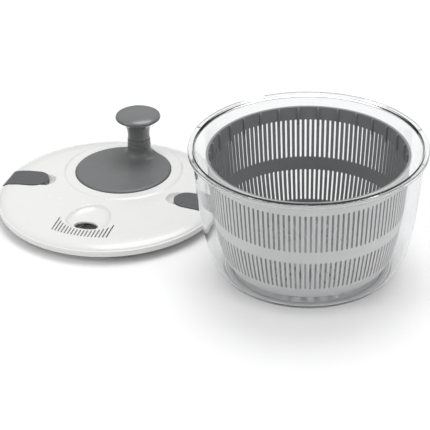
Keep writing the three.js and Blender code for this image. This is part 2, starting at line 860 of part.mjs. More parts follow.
const lid = new THREE.Group();
lid.position.set(lidCentre[0], lidCentre[1], lidBase);
lid.rotation.z = lidYaw * degree;
spinner.add(lid);
lid.add(
  piece("lid_shell", lidSolid(), whitePlastic),
  piece("gear_cover", gearCoverSolid(), innerWhite),
  piece("pinion", pinionSolid(), acetal),
  piece("basket_driver", driverSolid(), greyPlastic),
);
screwPlaces.forEach(([x, y], index) => {
  const screw = piece(`cover_screw_${index + 1}`, screwSolid(1.3, 5, 3.2, 1.1), steel);
  screw.position.set(x, y, 0.6 - gap);
  lid.add(screw);
});
const driverScrew = piece("driver_screw", screwSolid(1.6, 8, 3.6, 1.3), steel);
driverScrew.position.set(0, 0, keyEnd - 1.6 - gap);
lid.add(driverScrew);

for (const [side, angle] of [
  ["right", 0],
  ["left", Math.PI],
]) {
  const place = new THREE.Group();
  place.rotation.z = angle;
  lid.add(place);
  place.add(
    piece(`latch_${side}`, latchSolid(), darkPlastic),
    piece(`latch_pin_${side}`, latchPinSolid(), steel),
    piece(`latch_spring_${side}`, latchSpringSolid(), steel),
  );
}

const dial = new THREE.Group();
dial.position.set(0, dialOffset, dialTop);
dial.rotation.z = dialYaw * degree;
lid.add(dial);
const dialPiece = piece("dial", dialSolid(), darkPlastic);
dial.add(dialPiece);

const gearGroup = new THREE.Group();
gearGroup.position.set(0, 0, -dialTop);
dial.add(gearGroup);
const gear = piece("drive_gear", driveGearSolid(), acetal);
gearGroup.add(gear);
const washerBand = [gearWebBottom - gap - 0.6, gearWebBottom - gap];
gearGroup.add(piece("gear_washer", washerSolid(1.9, 8, washerBand[0], washerBand[1]), steel));
const gearScrew = piece("gear_screw", screwSolid(1.6, 8.5, 3.4, 0.9), steel);
gearScrew.position.z = washerBand[0] - gap / 2;
gearGroup.add(gearScrew);

const knob = new THREE.Group();
knob.position.set(0, knobOffset, knobBase);
dial.add(knob);
const post = piece("knob_post", postSolid(), steel);
post.position.z = -knobBase;
knob.add(
  post,
  piece("knob", knobSolid(), darkPlastic),
  piece("knob_cap", knobCapSolid(), darkPlastic),
);
const knobWasherBand = [cavityFloor + 0.8, cavityFloor + 1.6];
knob.add(piece("knob_washer", washerSolid(1.9, 7.5, knobWasherBand[0], knobWasherBand[1]), steel));
const knobScrew = piece("knob_screw", screwSolid(1.6, 11, 3.6, 1.8), steel);
knobScrew.rotation.x = Math.PI;
knobScrew.position.z = knobWasherBand[1] + gap;
knob.add(knobScrew);

export default spinner;
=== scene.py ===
"""A hand-cranked salad spinner: a clear bowl with its slotted basket, and the lid standing beside them."""
import json
import math

import bmesh
import bpy
from mathutils import Matrix, Vector


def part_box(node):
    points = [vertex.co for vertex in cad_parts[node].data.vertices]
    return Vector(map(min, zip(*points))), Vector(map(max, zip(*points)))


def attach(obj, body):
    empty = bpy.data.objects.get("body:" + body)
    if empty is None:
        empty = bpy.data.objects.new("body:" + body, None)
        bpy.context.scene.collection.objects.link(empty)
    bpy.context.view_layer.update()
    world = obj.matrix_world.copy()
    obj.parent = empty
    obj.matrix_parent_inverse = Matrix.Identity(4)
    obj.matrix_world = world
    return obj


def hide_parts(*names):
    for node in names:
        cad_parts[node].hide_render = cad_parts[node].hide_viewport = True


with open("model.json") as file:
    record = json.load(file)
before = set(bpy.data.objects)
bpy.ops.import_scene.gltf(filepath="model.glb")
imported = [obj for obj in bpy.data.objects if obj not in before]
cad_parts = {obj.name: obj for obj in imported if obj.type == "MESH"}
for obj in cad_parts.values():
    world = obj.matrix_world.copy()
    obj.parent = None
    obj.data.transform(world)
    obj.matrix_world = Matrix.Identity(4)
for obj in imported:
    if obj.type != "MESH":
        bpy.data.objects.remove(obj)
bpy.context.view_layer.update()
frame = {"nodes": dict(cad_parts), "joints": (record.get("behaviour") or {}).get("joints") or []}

mm = 0.001  # sizes and outlines are in millimetres, and what comes from the frame is in metres

# ---- The bowl ----
# The bowl is one injection moulding in clear styrene, 2.5 mm thick. A solid flange runs round the mouth and
# carries ten small ridges that the lid sits on, and a short pivot for the basket stands up from the middle of
# the floor.
bowl_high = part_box("bowl")[1]
rim_radius = bowl_high.x / mm
ridge_rise = 0.5
ridge_radius = 1.5
ridge_count = 10
first_ridge = -94  # degrees
bowl_height = bowl_high.z / mm - ridge_rise
flange_height = 5
flange_overhang = 4.8
bowl_wall = 2.5
foot_radius = 92.7
belly = (19.3, 10)  # the pull on the wall's lower end: how far out from the foot, and at what height
shoulder = (4.2, 70)  # the pull on its upper end: how far in from the top, and at what height
pivot_radius = 5
pivot_top = 11
bowl_floor = 5.3
foot_lift = 0.8
groove = (85.4, 91, 2.3)  # inner and outer radius of the grip ring's groove, and how deep it goes
wall_top = bowl_height - flange_height
wall_radius = rim_radius - flange_overhang


def solid(name, points, faces, place=Matrix(), sharp=35):
    """A closed mesh from points in millimetres, smooth but for the edges sharper than an angle."""
    mesh = bpy.data.meshes.new(name)
    mesh.from_pydata([place @ (Vector(point) * mm) for point in points], [], faces)
    outward = bmesh.new()
    outward.from_mesh(mesh)
    bmesh.ops.recalc_face_normals(outward, faces=outward.faces)
    outward.to_mesh(mesh)
    outward.free()
    made = bpy.data.objects.new(name, mesh)
    bpy.context.scene.collection.objects.link(made)
    shade(made, sharp)
    return made


def shade(made, sharp=35):
    made.data.shade_smooth()
    made.data.set_sharp_from_angle(angle=math.radians(sharp))


def rounded(corners, closed=False, steps=5):
    """Outline corners, where a third value is the length of edge that the rounding takes on each side."""
    path = []
    for i, corner in enumerate(corners):
        here = Vector(corner[:2])
        on_end = not closed and i in (0, len(corners) - 1)
        if len(corner) < 3 or on_end:
            path.append(here)
            continue
        back = Vector(corners[i - 1][:2]) - here
        ahead = Vector(corners[(i + 1) % len(corners)][:2]) - here
        start = here + back.normalized() * min(corner[2], 0.48 * back.length)
        end = here + ahead.normalized() * min(corner[2], 0.48 * ahead.length)
        for k in range(steps + 1):
            t = k / steps
            path.append(start * (1 - t) ** 2 + here * 2 * t * (1 - t) + end * t**2)
    return path


def turned(name, profile, place=Matrix(), steps=144):
    """A turned solid from (radius, height) points, closed on its axis or, off the axis, on itself."""
    points, rings = [], []
    for radius, height in profile:
        start = len(points)
        if radius < 1e-6:
            points.append((0, 0, height))
            rings.append([start] * steps)
            continue
        for k in range(steps):
            angle = 2 * math.pi * k / steps
            points.append((radius * math.cos(angle), radius * math.sin(angle), height))
        rings.append(list(range(start, start + steps)))
    if profile[0][0] > 1e-6:
        rings.append(rings[0])
    faces = []
    for low, high in zip(rings, rings[1:]):
        for k in range(steps):
            after = (k + 1) % steps
            face = list(dict.fromkeys((low[k], low[after], high[after], high[k])))
            if len(face) > 2:
                faces.append(face)
    return solid(name, points, faces, place)


def lofted(name, loops, place=Matrix(), sharp=35):
    """A solid through loops of (x, y, z) points, all with as many points, its two ends capped."""
    count = len(loops[0])
    points = [point for loop in loops for point in loop]
    faces = [list(range(count)), list(range(len(points) - count, len(points)))]
    for level in range(len(loops) - 1):
        for k in range(count):
            after = (k + 1) % count
            low, high = level * count, (level + 1) * count
            faces.append((low + k, low + after, high + after, high + k))
    return solid(name, points, faces, place, sharp)


def merged(name, parts):
    """Several meshes that don't touch, as one."""
    together = bmesh.new()
    for part in parts:
        together.from_mesh(part.data)
        bpy.data.objects.remove(part)
    mesh = bpy.data.meshes.new(name)
    together.to_mesh(mesh)
    together.free()
    made = bpy.data.objects.new(name, mesh)
    bpy.context.scene.collection.objects.link(made)
    return made


def worked(target, operation, *tools, sharp=35):
    """Cuts the tools from the target, or welds them to it, and clears the tools away."""
    for tool in tools:
        step = target.modifiers.new(operation, "BOOLEAN")
        step.operation = operation
        step.solver = "MANIFOLD"
        step.object = tool
    graph = bpy.context.evaluated_depsgraph_get()
    mesh = bpy.data.meshes.new_from_object(target.evaluated_get(graph))
    target.modifiers.clear()
    target.data = mesh
    for tool in tools:
        bpy.data.objects.remove(tool)
    shade(target, sharp)
    return target


def evened(made):
    """Shades a cut piece by its broad faces, so that slivers along the cuts don't show."""
    even = made.modifiers.new("even shading", "WEIGHTED_NORMAL")
    even.keep_sharp = True
    return made


def cut(target, *tools):
    return worked(target, "DIFFERENCE", *tools)


def weld(target, *tools):
    return worked(target, "UNION", *tools)


def wall_curve(inset, steps=30):
    """The bowl's wall from its foot to its flange, moved in from the outside by a distance."""
    ends = [Vector((foot_radius, foot_lift)), Vector((foot_radius + belly[0], belly[1]))]
    ends += [Vector((wall_radius - shoulder[0], shoulder[1])), Vector((wall_radius, wall_top))]
    path = []
    for i in range(steps + 1):
        t = (i / steps) ** 1.3
        u = 1 - t
        here = ends[0] * u**3 + ends[1] * 3 * t * u**2 + ends[2] * 3 * t**2 * u + ends[3] * t**3
        along = (ends[1] - ends[0]) * u**2 + (ends[2] - ends[1]) * 2 * t * u + (ends[3] - ends[2]) * t**2
        along.normalize()
        path.append((here.x - inset * along.y, here.y + inset * along.x))
    return path


inner_wall = [point for point in wall_curve(bowl_wall) if point[1] > bowl_floor + 1.5][::-1]
inner_wall[0] = (inner_wall[0][0], wall_top + 0.6)
mouth = wall_radius - bowl_wall
bowl_profile = rounded(
    [(0, 0), (12, 0, 0.4), (13.5, 2, 0.4), (groove[0] - 1.5, 2, 0.4), (groove[0], foot_lift, 0.3)]
    + [(groove[0], groove[2], 0.3), (groove[1], groove[2], 0.3), (groove[1], foot_lift, 0.3)]
    + wall_curve(0)
    + [(rim_radius, wall_top, 0.8), (rim_radius, bowl_height, 1.3), (mouth + 1.6, bowl_height, 0.8)]
    + [(mouth + 0.9, bowl_height - 1.2, 0.4), (mouth, bowl_height - 2.2, 0.6)]
    + inner_wall
    + [(inner_wall[-1][0] - 3, bowl_floor, 2.5), (pivot_radius + 4, bowl_floor, 1.5)]
    + [(pivot_radius + 0.2, 8.2, 1), (pivot_radius, pivot_top - 0.4, 0.6)]
    + [(pivot_radius - 1.6, pivot_top), (0, pivot_top)]
)
bowl = turned("clear_bowl", bowl_profile, steps=192)
half_round = [k * math.pi / 8 for k in range(9)]
ridges = []
for i in range(ridge_count):
    turn = Matrix.Rotation(math.radians(first_ridge + i * 360 / ridge_count), 4, "Z")
    across = [(math.cos(a) * ridge_radius, math.sin(a) * (ridge_rise + 0.4)) for a in half_round]
    reach = ((mouth + 1.9, -1.2), (mouth + 2.4, -0.4), (rim_radius - 1.6, -0.4), (rim_radius - 1, -1.2))
    ridges.append(
        lofted("ridge", [[(r, y, bowl_height + drop + z) for y, z in across] for r, drop in reach], turn)
    )
bowl = weld(bowl, *ridges)


def nodes_for(name):
    """A new material, its node tree and its Principled shader."""
    material = bpy.data.materials.new(name)
    material.use_nodes = True
    tree = material.node_tree
    shader = tree.nodes["Principled BSDF"]
    return material, tree, shader


def noise(tree, scale, detail=3.0, stretch=(1, 1, 1)):
    """A noise over the piece itself, with its scale in lumps to the metre."""
    place = tree.nodes.new("ShaderNodeTexCoord")
    sized = tree.nodes.new("ShaderNodeMapping")
    sized.inputs["Scale"].default_value = stretch
    made = tree.nodes.new("ShaderNodeTexNoise")
    made.inputs["Scale"].default_value = scale
    made.inputs["Detail"].default_value = detail
    tree.links.new(place.outputs["Object"], sized.inputs["Vector"])
    tree.links.new(sized.outputs["Vector"], made.inputs["Vector"])
    return made.outputs["Fac"]


def ranged(tree, value, low, high):
    """A noise value spread from low to high."""
    made = tree.nodes.new("ShaderNodeMapRange")
    made.inputs["From Min"].default_value = 0.3
    made.inputs["From Max"].default_value = 0.7
    made.inputs["To Min"].default_value = low
    made.inputs["To Max"].default_value = high
    tree.links.new(value, made.inputs["Value"])
    return made.outputs["Result"]


def bumped(tree, shader, height, depth):
    """A relief in the surface, its depth in metres."""
    made = tree.nodes.new("ShaderNodeBump")
    made.inputs["Distance"].default_value = depth
    tree.links.new(height, made.inputs["Height"])
    tree.links.new(made.outputs["Normal"], shader.inputs["Normal"])


def clear_styrene():
    """Water-clear plastic, with faint flow marks from the mould. Lamps shine through it."""
    material, tree, shader = nodes_for("clear styrene")
    shader.inputs["Base Color"].default_value = (0.9, 0.905, 0.91, 1)
    shader.inputs["Transmission Weight"].default_value = 1
    shader.inputs["IOR"].default_value = 1.52
    flow = noise(tree, 35, 2, (1, 1, 0.35))
    tree.links.new(ranged(tree, flow, 0.0, 0.035), shader.inputs["Roughness"])
    bumped(tree, shader, noise(tree, 60, 1, (1, 1, 0.4)), 0.00004)
    lamps = tree.nodes.new("ShaderNodeLightPath")
    open_way = tree.nodes.new("ShaderNodeBsdfTransparent")
    open_way.inputs["Color"].default_value = (0.95, 0.95, 0.95, 1)
    choice = tree.nodes.new("ShaderNodeMixShader")
    either = tree.nodes.new("ShaderNodeMath")
    either.operation = "MAXIMUM"
    tree.links.new(lamps.outputs["Is Shadow Ray"], either.inputs[0])
    tree.links.new(lamps.outputs["Is Diffuse Ray"], either.inputs[1])
    tree.links.new(either.outputs["Value"], choice.inputs[0])
    tree.links.new(shader.outputs["BSDF"], choice.inputs[1])
    tree.links.new(open_way.outputs["BSDF"], choice.inputs[2])
    tree.links.new(choice.outputs["Shader"], tree.nodes["Material Output"].inputs["Surface"])
    return material


def fitted(made, body, slot, material, *nodes):
    """The piece takes the place of its CAD nodes, with a finish, and goes wherever their body goes."""
    made.data.materials.clear()
    made.data.materials.append(material)
    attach(made, body)
    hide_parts(*nodes)
    return made


fitted(bowl, "bowl", "clear_plastic", clear_styrene(), "bowl")

# ---- The grip ring ----
# A ring of soft, milky rubber is pressed into the groove under the bowl. It stands 0.8 mm proud of the
# plastic and keeps the bowl from sliding.
ring_width = 5
ring_depth = 2
ring_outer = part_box("grip_ring")[1].x / mm
ring_inner = ring_outer - ring_width
ring_profile = rounded(
    [(ring_inner, 0, 0.7), (ring_outer, 0, 0.7)]
    + [(ring_outer, ring_depth, 0.3), (ring_inner, ring_depth, 0.3)],
    closed=True,
)
grip_ring = turned("rubber_grip_ring", ring_profile, steps=192)


def moulded(name, colour, rough, cloud=0.04, grain=700, relief=0.000006, coat=0.0):
    """Moulded plastic or rubber: a faint cloud in the colour, an uneven gloss and a fine mould grain."""
    material, tree, shader = nodes_for(name)
    tint = tree.nodes.new("ShaderNodeMix")
    tint.data_type = "RGBA"
    tint.inputs["A"].default_value = (*[value * (1 - cloud) for value in colour], 1)
    tint.inputs["B"].default_value = (*[min(value * (1 + cloud), 1) for value in colour], 1)
    tree.links.new(noise(tree, 45), tint.inputs["Factor"])
    tree.links.new(tint.outputs["Result"], shader.inputs["Base Color"])
    tree.links.new(ranged(tree, noise(tree, 130, 4), rough * 0.85, rough * 1.15), shader.inputs["Roughness"])
    bumped(tree, shader, noise(tree, grain, 2), relief)
    shader.inputs["Coat Weight"].default_value = coat
    shader.inputs["Coat Roughness"].default_value = 0.08
    return material


grip_rubber = moulded("milky rubber", (0.62, 0.65, 0.67), 0.6, grain=1500, relief=0.00005)
fitted(grip_ring, "bowl", "grip_rubber", grip_rubber, "grip_ring")

# ---- The basket ----
# The basket is one moulding in grey polypropylene that turns on the bowl's pivot. Two tiers of 120 upright
# slots let the water out, and thirty ribs inside the mouth take the lugs of the lid's driver.
basket_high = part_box("basket")[1]
basket_rim = basket_high.x / mm
basket_top = basket_high.z / mm
basket_floor = 12  # the floor's underside
floor_face = 15
floor_rings = (30, 50, 74)
basket_wall = 1.8
slot_pitch = 3  # degrees
slot_share = 0.42
wall_stations = [(12, 88), (28, 95.6), (64, 103), (78.5, 105.1), (125, 108.9), (138.2, 109.3)]
tiers = [(28, 64), (78.5, 125)]
slot_round = [(0, 0.3), (0.25, 0.72), (0.9, 1)]  # distance in from a slot's end, share of its width open


def basket_radius(height):
    """The outside of the wall at a height, on one smooth line through its stations."""
    last = len(wall_stations) - 1
    i = max(k for k in range(last) if wall_stations[k][0] <= height + 1e-9)
    z0, r0 = wall_stations[max(i - 1, 0)]
    z1, r1 = wall_stations[i]
    z2, r2 = wall_stations[i + 1]
    z3, r3 = wall_stations[min(i + 2, last)]
    span = z2 - z1
    t = (height - z1) / span
    rise1 = span * (r2 - r0) / (z2 - z0)
    rise2 = span * (r3 - r1) / (z3 - z1)
    smooth = t * t * (3 - 2 * t)
    return r1 + (r2 - r1) * smooth + rise1 * t * (1 - t) ** 2 - rise2 * t * t * (1 - t)


def basket_mesh():
    """The wall, rim and floor, spun as one outline, with the slots left out of the wall and the floor."""
    rows = [(14.5, 0), (20, 0)]
    for low, high in tiers:
        rows += [(low + inset, share) for inset, share in slot_round]
        rows += [(low + (high - low) * k / 4, 1) for k in (1, 2, 3)]
        rows += [(high - inset, share) for inset, share in reversed(slot_round)]
        if high < 100:
            rows.append((71, 0))
    outline = [(0, 11.3, 1), (5.35, 11.3, 1), (5.35, 8.4, 1), (8.35, 8.4, 1), (9.6, basket_floor, 1)]
    outline += [(radius, basket_floor, 1) for radius in floor_rings]
    outline += [(84.5, basket_floor, 1), (87.4, 12.5, 1)]
    outer_start = len(outline)
    outline += [(basket_radius(height), height, share or 1) for height, share in rows]
    rim_low = basket_top - 2.6
    outline += [(basket_radius(rim_low - 1), rim_low - 1, 1), (basket_rim - 1.3, rim_low, 1)]
    outline += [(basket_rim - 0.3, rim_low + 0.3, 1), (basket_rim, rim_low + 1, 1)]
    outline += [(basket_rim, basket_top - 0.8, 1), (basket_rim - 0.8, basket_top, 1)]
    outline += [(basket_rim - 2.9, basket_top, 1), (basket_rim - 3.4, basket_top - 0.5, 1)]
    inner_start = len(outline)
    outline += [(basket_radius(height) - basket_wall, height, share or 1) for height, share in reversed(rows)]
    outline += [(84, floor_face, 1)]
    outline += [(radius, floor_face, 1) for radius in reversed(floor_rings)]
    outline += [(11, floor_face, 1), (8, 16, 1), (0, 16, 1)]

    columns = int(360 / slot_pitch)
    points, rings = [], []
    for radius, height, share in outline:
        start = len(points)
        half = slot_pitch * slot_share / 2 * share
        if radius == 0:
            points.append((0, 0, height))
            rings.append([start] * (2 * columns))
            continue
        for k in range(columns):
            for side in (-half, half):
                angle = math.radians((k + 0.5) * slot_pitch + side)
                points.append((radius * math.cos(angle), radius * math.sin(angle), height))
        rings.append(list(range(start, start + 2 * columns)))

    def is_open(level, k):
        """True where the cell between this ring and the next is part of a slot."""
        low, high = outline[level], outline[level + 1]
        middle = (low[1] + high[1]) / 2
        on_wall = min(low[0], high[0]) > 85
        if on_wall:
            inside = level >= outer_start and level + 1 < inner_start or level >= inner_start
            return k % 2 == 0 and inside and any(a < middle < b for a, b in tiers)
        between = floor_rings[0] <= min(low[0], high[0]) and max(low[0], high[0]) <= floor_rings[-1]
        return between and (k // 2) % 4 in (1, 2) and (k % 2 == 0 or (k // 2) % 4 == 1)

    facing = {}
    for i, (radius, height, _) in enumerate(outline):
        if outer_start <= i < outer_start + len(rows):
            facing[i] = inner_start + len(rows) - 1 - (i - outer_start)
        if height == basket_floor and radius in floor_rings:
            facing[i] = next(j for j, other in enumerate(outline) if other[:2] == (radius, floor_face))
    faces = []
    for level in range(len(outline) - 1):
        for k in range(2 * columns):
            after = (k + 1) % (2 * columns)
            low, high = rings[level], rings[level + 1]
            if not is_open(level, k):
                faces.append(list(dict.fromkeys((low[k], low[after], high[after], high[k]))))
                continue
            if level not in facing or level + 1 not in facing:
                continue
            back_low, back_high = rings[facing[level]], rings[facing[level + 1]]
            if not is_open(level, k - 1 if k else 2 * columns - 1):
                faces.append((low[k], high[k], back_high[k], back_low[k]))
            if not is_open(level, after):
                faces.append((low[after], high[after], back_high[after], back_low[after]))
            if not is_open(level - 1, k):
                faces.append((low[k], low[after], back_low[after], back_low[k]))
            if not is_open(level + 1, k):
                faces.append((high[k], high[after], back_high[after], back_high[k]))
    return solid("slotted_basket", points, [face for face in faces if len(face) > 2])


basket = basket_mesh()
rib_top = basket_top - 1
rib_foot = 119
rib_count = 30
rib_half = 1.25
rib_root = 0.9  # how far a rib runs into the wall
rib_shape = [(rib_foot, 0.4), (rib_foot + 2.5, 2), (rib_top - 3, 2.6), (rib_top - 1, 2.2), (rib_top, 1)]
ribs = []
for i in range(rib_count):
    turn = Matrix.Rotation(math.radians((i + 0.75) * 360 / rib_count), 4, "Z")
    loops = []
    for height, reach in rib_shape:
        wall = basket_radius(min(height, 138)) - basket_wall
        nose = [(wall - reach * math.sin(a), rib_half * math.cos(a), height) for a in half_round]
        loops.append([(wall + rib_root, rib_half, height), *nose, (wall + rib_root, -rib_half, height)])
    ribs.append(lofted("rib", loops, turn))
basket = weld(basket, merged("ribs", ribs))


def grey_with_painted_light_and_shade():
    """Grey polypropylene, one grey all through, with painted shade darkening the inside and painted light
    brightening the outside.

    Known fault: the normal is the world's and the position is the piece's own, so the two agree only while
    the basket is unturned.
    """
    # Painted shade: the base grey is darker than the plastic's own, standing for the shade inside the basket.
    material = moulded("grey polypropylene", (0.24, 0.243, 0.248), 0.36)
    tree = material.node_tree
    shader = tree.nodes["Principled BSDF"]
    surface = tree.nodes.new("ShaderNodeNewGeometry")
    place = tree.nodes.new("ShaderNodeTexCoord")
    flat = tree.nodes.new("ShaderNodeVectorMath")
    flat.operation = "MULTIPLY"
    flat.inputs[1].default_value = (1, 1, 0)
    away = tree.nodes.new("ShaderNodeVectorMath")
    away.operation = "NORMALIZE"
    facing_out = tree.nodes.new("ShaderNodeVectorMath")
    facing_out.operation = "DOT_PRODUCT"
    tree.links.new(place.outputs["Object"], flat.inputs[0])
    tree.links.new(flat.outputs["Vector"], away.inputs[0])
    tree.links.new(away.outputs["Vector"], facing_out.inputs[0])
    tree.links.new(surface.outputs["Normal"], facing_out.inputs[1])
    # Painted light: a mask of the faces that turn outward, where the outside is painted lighter.
    painted_light_mask = tree.nodes.new("ShaderNodeMapRange")
    painted_light_mask.inputs["From Min"].default_value = 0.2
    painted_light_mask.inputs["From Max"].default_value = 0.7
    tree.links.new(facing_out.outputs["Value"], painted_light_mask.inputs["Value"])
    # Painted light: a lighter grey on the outside faces, standing for the bowl's reflection and the table's
    # bounce light.
    painted_light_outside = tree.nodes.new("ShaderNodeMix")
    painted_light_outside.data_type = "RGBA"
    painted_light_outside.inputs["B"].default_value = (0.66, 0.66, 0.66, 1)
    tree.links.new(painted_light_mask.outputs["Result"], painted_light_outside.inputs["Factor"])
    tree.links.new(shader.inputs["Base Color"].links[0].from_socket, painted_light_outside.inputs["A"])
    tree.links.new(painted_light_outside.outputs["Result"], shader.inputs["Base Color"])
    return material


fitted(basket, "basket", "grey_plastic", grey_with_painted_light_and_shade(), "basket")

# ---- The lid shell ----
# The lid is one glossy white moulding with a domed top. A raised ring holds the dial, and each latch has a
# slot and a finger scoop. Water goes in through the oval hole in the dish, and out through the row of slots
# beside it.
joints = {joint["name"]: joint for joint in frame["joints"]}
driver_at = Vector(joints["driver_spin"]["pos_m"])
dial_at = Vector(joints["dial_turn"]["pos_m"])
towards_dial = dial_at - driver_at
lid_turn = math.atan2(towards_dial.y, towards_dial.x) - math.pi / 2
spigot_drop = 1.5
lid_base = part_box("lid_shell")[0].z + spigot_drop * mm
lid_place = Matrix.Translation((driver_at.x, driver_at.y, lid_base)) @ Matrix.Rotation(lid_turn, 4, "Z")
dial_offset = 45
lid_radius = 131.8
lid_surface = [(lid_radius, 3.4), (131.3, 4.8), (130.1, 6.2), (127, 8.3)]
lid_surface += [(120, 10.4), (108, 12), (84.8, 13.2), (0, 14)]
lid_skin = 2.2
spigot_radius = 122.3
spigot_wall = 1.6
spigot_inside = spigot_radius - spigot_wall
channel_radius = 130.4
channel_top = 3.2
recess_radius = 57.1
recess_floor = 10.6
plateau_top = 14.8
seat_bottom = 8.4  # the underside of the plate under the dial
hub_hole = 8.35
pinion_boss_radius = 7
pinion_hole = 4.35
pin_distance = 117  # from the lid's middle to a latch's pin
pin_height = 6.6
pin_radius = 1.35
pin_reach = 18.1
tool_low = -9  # clear of the lid, for tools that cut right through it
tool_high = 30
dish = ((0, -77), (26, 37, 17.5), 14.3, 6.3)  # middle, half sizes (across, behind, in front), top and depth
scoop = ((82, 0), (12.5, 13, 13), 14.9, 7.5)
dish_wall_middle = -67


def surface_height(radius):
    """The lid's plain top at a distance from its middle."""
    for (outer, low), (inner, high) in zip(lid_surface, lid_surface[1:]):
        if inner <= radius <= outer:
            return high + (low - high) * ((radius - inner) / (outer - inner)) ** 1.5
    return lid_surface[0][1]


def blended(a, b, over):
    """The lower of two heights, with a hollow as wide as asked where they cross."""
    share = min(max(0.5 + 0.5 * (b - a) / over, 0), 1)
    return b + (a - b) * share - over * share * (1 - share)


def hollow(x, y, shape):
    """The height of a scooped hollow, or far above the lid outside it."""
    (middle_x, middle_y), (half_x, behind, in_front), top, depth = shape
    half_y = behind if y > middle_y else in_front
    away = ((x - middle_x) / half_x) ** 2 + ((y - middle_y) / half_y) ** 2
    return top - depth * math.sqrt(1 - away**1.4) if away < 1 else top + (away - 1) * 4


def lid_height(x, y):
    """The lid's top with the raised ring, the dish and the two scoops moulded into it."""
    from_dial = math.hypot(x, y - dial_offset)
    ring = plateau_top - 4.2 * min(max((from_dial - 69) / 4.5, 0), 2)
    top = -blended(-surface_height(math.hypot(x, y)), -ring, 0.7)
    top = blended(top, hollow(x, y, dish), 1.0)
    return blended(top, hollow(abs(x), y, scoop), 1.2)


def lid_blank():
    """The lid's outside as a solid down to the foot of its spigot."""
    steps = 432
    radii = [1.125 * k for k in range(1, 108)] + [122.8, 124, 125.2, 126.2, 127.2, 128.2, 129, 129.7]
    radii += [130.3, 130.8, 131.3, 131.6, 131.8]
    points = [(0, 0, lid_height(0, 0))]
    for radius in radii:
        for k in range(steps):
            angle = 2 * math.pi * k / steps
            x, y = radius * math.cos(angle), radius * math.sin(angle)
            points.append((x, y, lid_height(x, y)))
    for height in (0.5, 0):
        radius = lid_radius - (0.5 if height == 0 else 0)
        for k in range(steps):
            angle = 2 * math.pi * k / steps
            points.append((radius * math.cos(angle), radius * math.sin(angle), height))
    for radius, height in ((spigot_radius, 0), (spigot_radius, -spigot_drop)):
        for k in range(steps):
            angle = 2 * math.pi * k / steps
            points.append((radius * math.cos(angle), radius * math.sin(angle), height))
    rings = len(radii) + 4
    faces = [(0, 1 + k, 1 + (k + 1) % steps) for k in range(steps)]
    for level in range(rings - 1):
        for k in range(steps):
            low, high = 1 + level * steps, 1 + (level + 1) * steps
            after = (k + 1) % steps
            faces.append((low + k, low + after, high + after, high + k))
    faces.append(list(range(1 + (rings - 1) * steps, 1 + rings * steps)))
    return solid("white_lid", points, faces, lid_place)


def bar(radius, low, high, place, steps=48):
    """A plain round tool for cutting or welding."""
    return turned("bar", [(0, low), (radius, low), (radius, high), (0, high)], place, steps)


def block(x, y, z, place):
    """A plain square tool for cutting or welding."""
    loops = [[(x[0], y[0], h), (x[1], y[0], h), (x[1], y[1], h), (x[0], y[1], h)] for h in z]
    return lofted("block", loops, place)


def ball(middle, half, place):
    """An egg-shaped tool for cutting or welding."""
    sized = Matrix.Translation(Vector(middle) * mm) @ Matrix.Diagonal((*half, 1))
    profile = [(math.cos(a), math.sin(a)) for a in [math.radians(k * 7.5 - 90) for k in range(25)]]
    profile[0] = (0, -1)
    profile[-1] = (0, 1)
    return turned("ball", profile, place @ sized, 48)


latch_width = 33
latch_inner_end = 79
latch_gap = 0.7
pocket_floor = 4.2
beyond = 200


def pin_axis(facing):
    """The middle of a latch's pin, which lies along its own +Z."""
    middle = Matrix.Translation((pin_distance * mm, 0, pin_height * mm))
    return facing @ middle @ Matrix.Rotation(math.pi / 2, 4, "X")


def ellipse(middle, half, steps=72):
    """An oval outline from its middle and its half sizes."""
    turn = [2 * math.pi * k / steps for k in range(steps)]
    return [(middle[0] + half[0] * math.cos(a), middle[1] + half[1] * math.sin(a)) for a in turn]


def latch_outline(margin, reach, steps=28):
    """A latch from above, pointing along +X with its inner end full round, grown by a margin."""
    half = latch_width / 2 + margin
    middle = latch_inner_end + latch_width / 2
    turn = [math.radians(90 + 180 * k / steps) for k in range(steps + 1)]
    return [(middle + half * math.cos(a), half * math.sin(a)) for a in turn] + [(reach, -half), (reach, half)]


def raised(outline, low, high):
    return [[(x, y, z) for x, y in outline] for z in (low, high)]


dial_middle = lid_place @ Matrix.Translation((0, dial_offset * mm, 0))
facings = [lid_place, lid_place @ Matrix.Rotation(math.pi, 4, "Z")]
screw_places = [(-43.55, dial_offset), (43.55, dial_offset), (0, 88.55), (0, -18.55)]


def lid_inside():
    """The room under the lid, inside its spigot, less all that hangs down into it."""
    profile = [(0, tool_low), (spigot_inside, tool_low)]
    profile += [(r, surface_height(r) - lid_skin) for r in (spigot_inside, 116, 108, 96, 84, 60, 30)]
    room = turned("room", profile + [(0, 14 - lid_skin)], lid_place, 180)
    solids = [bar(recess_radius + 3, seat_bottom, tool_high, dial_middle, 96)]
    levels = []
    for margin, height in ((-5, 6), (-1, 7), (1.5, 9), (2.2, 11), (2.2, tool_high)):
        oval = ellipse((0, dish_wall_middle), (26 + margin, 27.5 + margin))
        levels.append([(x, y, height) for x, y in oval])
    solids.append(lofted("dish wall", levels, lid_place))
    for facing in facings:
        tray = latch_outline(latch_gap + 2, spigot_radius + 5)
        solids.append(lofted("tray", raised(tray, 0.6, tool_high), facing))
        grown = [half + 2.4 for half in scoop[1][:2]]
        well = ball((*scoop[0], scoop[2]), (*grown, scoop[3] + 2), facing)
        solids.append(cut(well, block((-beyond, beyond), (-beyond, beyond), (-40, 0.6), facing)))
    for x, y in screw_places:
        solids.append(bar(4, 2.5, tool_high, lid_place @ Matrix.Translation((x * mm, y * mm, 0)), 32))
    solids.append(bar(pinion_boss_radius, seat_bottom, tool_high, lid_place, 48))
    return cut(room, *solids)


